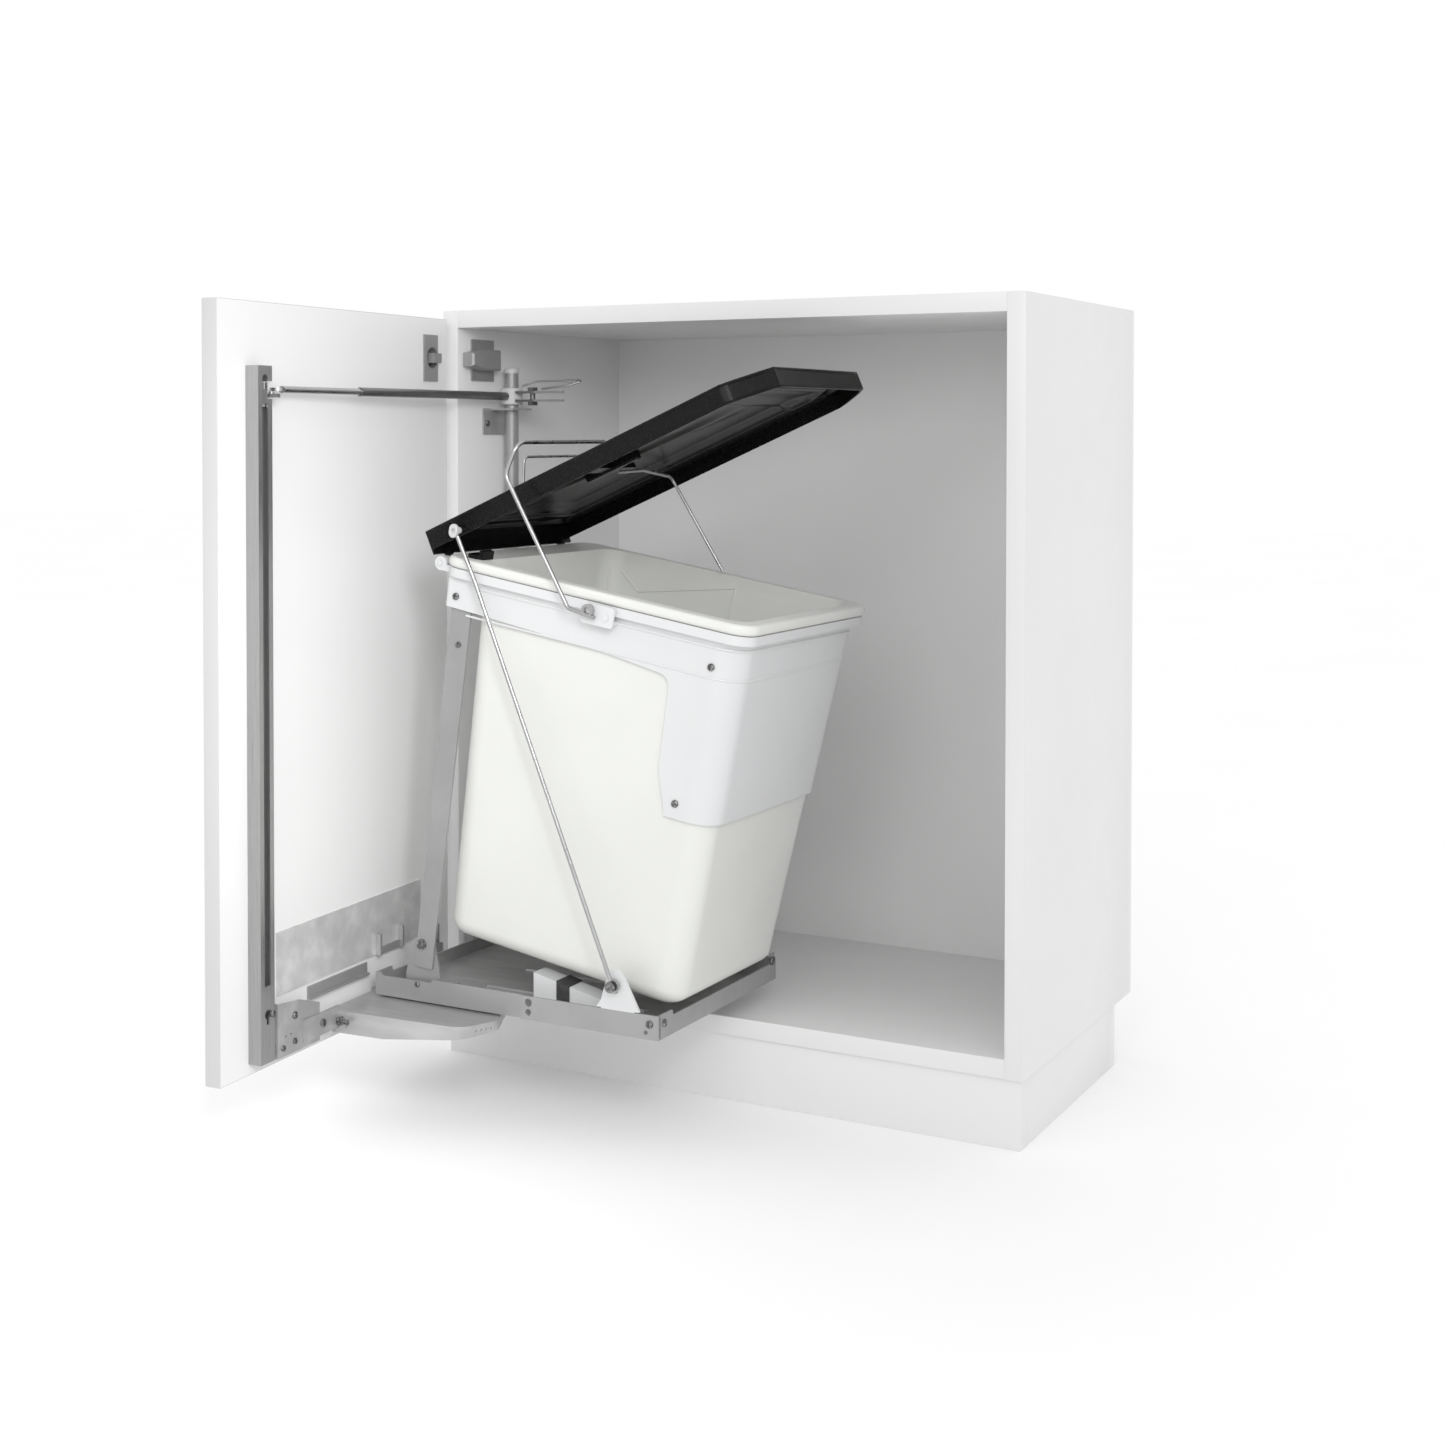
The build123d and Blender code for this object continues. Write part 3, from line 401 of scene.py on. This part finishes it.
def board(node, front=True):
    """A board with softened edges; its front edge carries a separate edge band."""
    low, high = (to_mm(corner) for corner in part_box(node))
    bm = bmesh.new()
    start = low[1] + BAND if front else low[1]
    add_box(bm, (low[0], start, low[2]), high, world_place, BOARD_EDGE)
    obj = piece("board_" + node, bm, "cabinet", "melamine")
    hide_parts(node)
    if front:
        bm = bmesh.new()
        add_box(bm, low, (high[0], start, high[2]), world_place, BAND_EDGE)
        piece("band_" + node, bm, "cabinet", "melamine", EDGE_BAND)


for name in ("side_panel_left", "side_panel_right", "top_panel", "bottom_panel"):
    board(name)
for name in ("back_panel", "plinth_front", "plinth_back", "plinth_left", "plinth_right", "plinth_rail"):
    board(name, front=False)


def door_bands():
    """The edge bands round the door leaf, a hair proud of its edges and faces, in a darker copy of the band whose
    colour holds painted shade.
    """
    (x0, x1), (z0, z1) = DOOR_X, DOOR_Z
    y0, y1 = DOOR_Y[0] - 0.05, DOOR_Y[1] + 0.05
    proud, sunk, edge = 0.35, 0.4, 0.3
    bm = bmesh.new()
    add_box(bm, (x0 - proud, y0, z0), (x0 + sunk, y1, z1), door_place, edge)
    add_box(bm, (x1 - sunk, y0, z0), (x1 + proud, y1, z1), door_place, edge)
    add_box(bm, (x0, y0, z1 - sunk), (x1, y1, z1 + proud), door_place, edge)
    add_box(bm, (x0, y0, z0 - proud), (x1, y1, z0 + sunk), door_place, edge)
    piece("door_edge_bands", bm, "door", "melamine", DOOR_BAND_PAINTED_SHADE)


door_bands()


# --- bin details -----------------------------------------------------------------------------
BIN_BOTTOM = 176.7
WALL_HEIGHT = 356.3
HOLDER_LEFT = -251
HOLDER_CORNER = 27
HOLDER_GROW = 4


def bucket_wall(z):
    """The bucket's outer limits in x and y, at a height on the upright bin."""
    t = (z - BIN_BOTTOM) / WALL_HEIGHT
    return -215.5 - 5.5 * t, 45.5 + 19 * t, -155 - 20 * t, 52 + 20 * t


def holder_bead(z, name, radius):
    """A raised bead round the holder's band, clear of its open left end."""
    _, x1, y0, y1 = bucket_wall(z)
    outline = rounded_outline(
        HOLDER_LEFT, x1 + HOLDER_GROW, y0 - HOLDER_GROW, y1 + HOLDER_GROW, HOLDER_CORNER
    )
    points = [bin_place(x, y, z) for x, y in outline if x > HOLDER_LEFT + HOLDER_CORNER - 1]
    gap = max(range(len(points)), key=lambda i: (points[i] - points[i - 1]).length)
    bm = bmesh.new()
    tube(bm, points[gap:] + points[:gap], radius * MM, 10)
    piece(name, bm, "bin", "white_plastic")


holder_bead(517, "holder_bead_upper", 1.4)
holder_bead(489, "holder_bead_lower", 1.0)


def bucket_ribs():
    """The thin moulded ribs that run up the bucket's four inner corners."""
    low, pitch, inset = 196, 41, 9.2
    bm = bmesh.new()
    for y_side, y_step in ((2, inset), (3, -inset)):
        for x_side, x_step in ((0, inset), (1, -inset)):
            points = []
            for z in range(low, low + 9 * pitch, pitch):
                wall = bucket_wall(z)
                points.append(bin_place(wall[x_side] + x_step, wall[y_side] + y_step, z))
            tube(bm, points, 1.1 * MM, 8)
    piece("bucket_corner_ribs", bm, "bin", "ivory_plastic")


bucket_ribs()


def bucket_folds():
    """Three thin raised mould lines on the bucket's far inner wall, below the rim."""
    wall_inset, steps = 2.7, 10
    corners = [(-212, 530), (-178, 505), (-68, 531), (-70, 488)]
    bm = bmesh.new()
    for (x0, z0), (x1, z1) in zip(corners, corners[1:]):
        points = []
        for k in range(steps + 1):
            x, z = x0 + (x1 - x0) * k / steps, z0 + (z1 - z0) * k / steps
            points.append(bin_place(x, bucket_wall(z)[3] - wall_inset, z))
        tube(bm, points, 1.1 * MM, 8)
    piece("bucket_folds", bm, "bin", "ivory_plastic")


bucket_folds()


# --- lid details -----------------------------------------------------------------------------
LID_X = (-266, 120)
LID_Y = (-177, 71)
LID_CUT = 40
CUT_SLOPE = 0.8  # how far a cut corner runs in y for its run in x
LINER_Z = 561.2
LINER_THICK = 0.8
CLIP = (-102, -78)


def lid_depth(x, y, inset):
    """How deep a point lies inside the lid's cut-cornered outline, shrunk by an inset."""
    (x0, x1), (y0, y1) = ((low + inset, high - inset) for low, high in (LID_X, LID_Y))
    edge = min(x - x0, x1 - x, y - y0, y1 - y)
    for corner in (y0, y1):
        across = abs(y - corner) / (LID_CUT * CUT_SLOPE) + (x1 - x) / LID_CUT - 1
        edge = min(edge, across * 25)
    return edge


def smooth_step(value, low, high):
    """A soft step from 0 to 1 between two values."""
    t = max(0.0, min(1.0, (value - low) / (high - low)))
    return t * t * (3 - 2 * t)


def clip_ribs(x, y, depth):
    """The height, from 0 to 1, of the crossed ribs that run out from the centre clip."""
    dx, dy = x - CLIP[0], y - CLIP[1]
    reach = math.hypot(dx, dy)
    rib = max(0.0, math.cos(math.atan2(dy, dx) * 2 - 0.35)) ** 26
    ends = smooth_step(reach, 14, 30) * (1 - smooth_step(reach, 95, 165))
    return rib * ends * smooth_step(depth, 30, 48)


def liner_height(x, y, depth):
    """The moulded underside: a stepped border, a groove, a dished middle, ribs and an end panel."""
    height = LINER_Z - 3.2 * (1 - smooth_step(depth, 10, 15))
    height -= 2.2 * (smooth_step(depth, 22, 26) - smooth_step(depth, 31, 36))
    height += 2.6 * smooth_step(depth, 36, 60)
    height -= 3.0 * clip_ribs(x, y, depth)
    return height - 1.6 * smooth_step(x, 38, 44) * smooth_step(depth, 24, 28)


def lid_liner():
    """A finely meshed moulded sheet under the lid, with a thickness."""
    inset, columns, rows = 2.8, 150, 96
    width = LID_X[1] - LID_X[0] - 2 * inset
    length = LID_Y[1] - LID_Y[0] - 2 * inset
    bm = bmesh.new()
    grid = {}
    for i in range(columns + 1):
        for j in range(rows + 1):
            x = LID_X[0] + inset + width * i / columns
            y = LID_Y[0] + inset + length * j / rows
            depth = lid_depth(x, y, inset - 0.1)
            if depth < 0:
                continue
            z = liner_height(x, y, depth)
            grid[i, j] = [bm.verts.new(lid_place(x, y, z + up)) for up in (0, LINER_THICK)]
    for i, j in grid:
        keys = [(i, j), (i + 1, j), (i + 1, j + 1), (i, j + 1)]
        if all(key in grid for key in keys):
            bm.faces.new([grid[key][0] for key in keys])
            bm.faces.new([grid[key][1] for key in reversed(keys)])
    rim = [edge for edge in bm.edges if len(edge.link_faces) == 1]
    bmesh.ops.bridge_loops(bm, edges=rim)
    loose = [vert for vert in bm.verts if not vert.link_faces]
    bmesh.ops.delete(bm, geom=loose, context="VERTS")
    piece("lid_liner", bm, "lid", "black_plastic")


lid_liner()


def eased(corners):
    """Rounds the corners of the lid's outline with three points each; the hinge corners less."""
    points = []
    for k, corner in enumerate(corners):
        before, after = corners[k - 1], corners[(k + 1) % len(corners)]
        reach = 10 if 0 < k < len(corners) - 1 else 2
        middle = (before + after) / 2 - corner
        points.append(corner + (before - corner).normalized() * reach)
        points.append(corner + middle.normalized() * reach * 0.22)
        points.append(corner + (after - corner).normalized() * reach)
    return points


def lid_edge():
    """The rolled beads along the skirt's lower edge and round the top's edge."""
    inset, cut = 0.8, LID_CUT - 1
    (x0, x1), (y0, y1) = ((low + inset, high - inset) for low, high in (LID_X, LID_Y))
    near = [(x0, y0), (x1 - cut, y0), (x1, y0 + cut * CUT_SLOPE)]
    far = [(x1, y1 - cut * CUT_SLOPE), (x1 - cut, y1), (x0, y1)]
    outline = eased([Vector(corner) for corner in near + far])
    bm = bmesh.new()
    for z, radius in ((546.4, 1.5), (562.6, 1.7)):
        tube(bm, [lid_place(x, y, z) for x, y in outline], radius * MM, 10, closed=True)
    piece("lid_edge_beads", bm, "lid", "black_plastic")


lid_edge()


# --- camera, floor and light -------------------------------------------------------------------
def camera():
    """The camera: a long lens from the front right, with the frame shifted as on a view camera."""
    data = bpy.data.cameras.new("camera")
    data.sensor_width = 36
    data.lens = 50.79
    data.shift_x = 0.0436
    data.shift_y = -0.1681
    data.clip_start = 0.05
    obj = bpy.data.objects.new("camera", data)
    obj.location = (0.92696, -1.92489, 0.65704)
    obj.rotation_euler = (math.radians(90 - 1.299), 0, math.radians(29.083))
    bpy.context.scene.collection.objects.link(obj)
    bpy.context.scene.camera = obj


def area(name, place, aim, size, power, spread=180):
    """A soft square light that points at a place, within a spread in degrees."""
    data = bpy.data.lights.new(name, "AREA")
    data.shape = "SQUARE"
    data.size = size
    data.energy = power
    data.spread = math.radians(spread)
    obj = bpy.data.objects.new(name, data)
    obj.location = place
    obj.rotation_euler = (Vector(aim) - Vector(place)).to_track_quat("-Z", "Y").to_euler()
    bpy.context.scene.collection.objects.link(obj)


def floor():
    """A pale floor that fades into the white surroundings."""
    bm = bmesh.new()
    bmesh.ops.create_grid(bm, x_segments=8, y_segments=8, size=12)
    mesh = bpy.data.meshes.new("floor")
    bm.to_mesh(mesh)
    bm.free()
    obj = bpy.data.objects.new("floor", mesh)
    bpy.context.scene.collection.objects.link(obj)
    look = Look("floor", specular=0.0)
    look.colour(look.noise(2, 2), [(0.3, grey(0.985)), (0.7, grey(1.0))])
    look.roughness(look.noise(4, 2), 0.8, 0.9)
    mesh.materials.append(look.material)


def surroundings():
    """White studio light from all round."""
    world = bpy.data.worlds.new("studio")
    world.use_nodes = True
    background = world.node_tree.nodes["Background"]
    background.inputs["Color"].default_value = (1, 1, 1, 1)
    background.inputs["Strength"].default_value = 1.0
    bpy.context.scene.world = world


camera()
floor()
surroundings()
area("key", (0.5, -3.0, 1.7), (-0.1, 0.1, 0.4), 1.4, 14)
area("door_light", (0.72, -1.40, 1.0), (-0.33, -0.52, 0.42), 0.5, 1.7, 48)
bpy.context.scene.view_settings.view_transform = "Standard"
bpy.context.scene.view_settings.gamma = 1.32
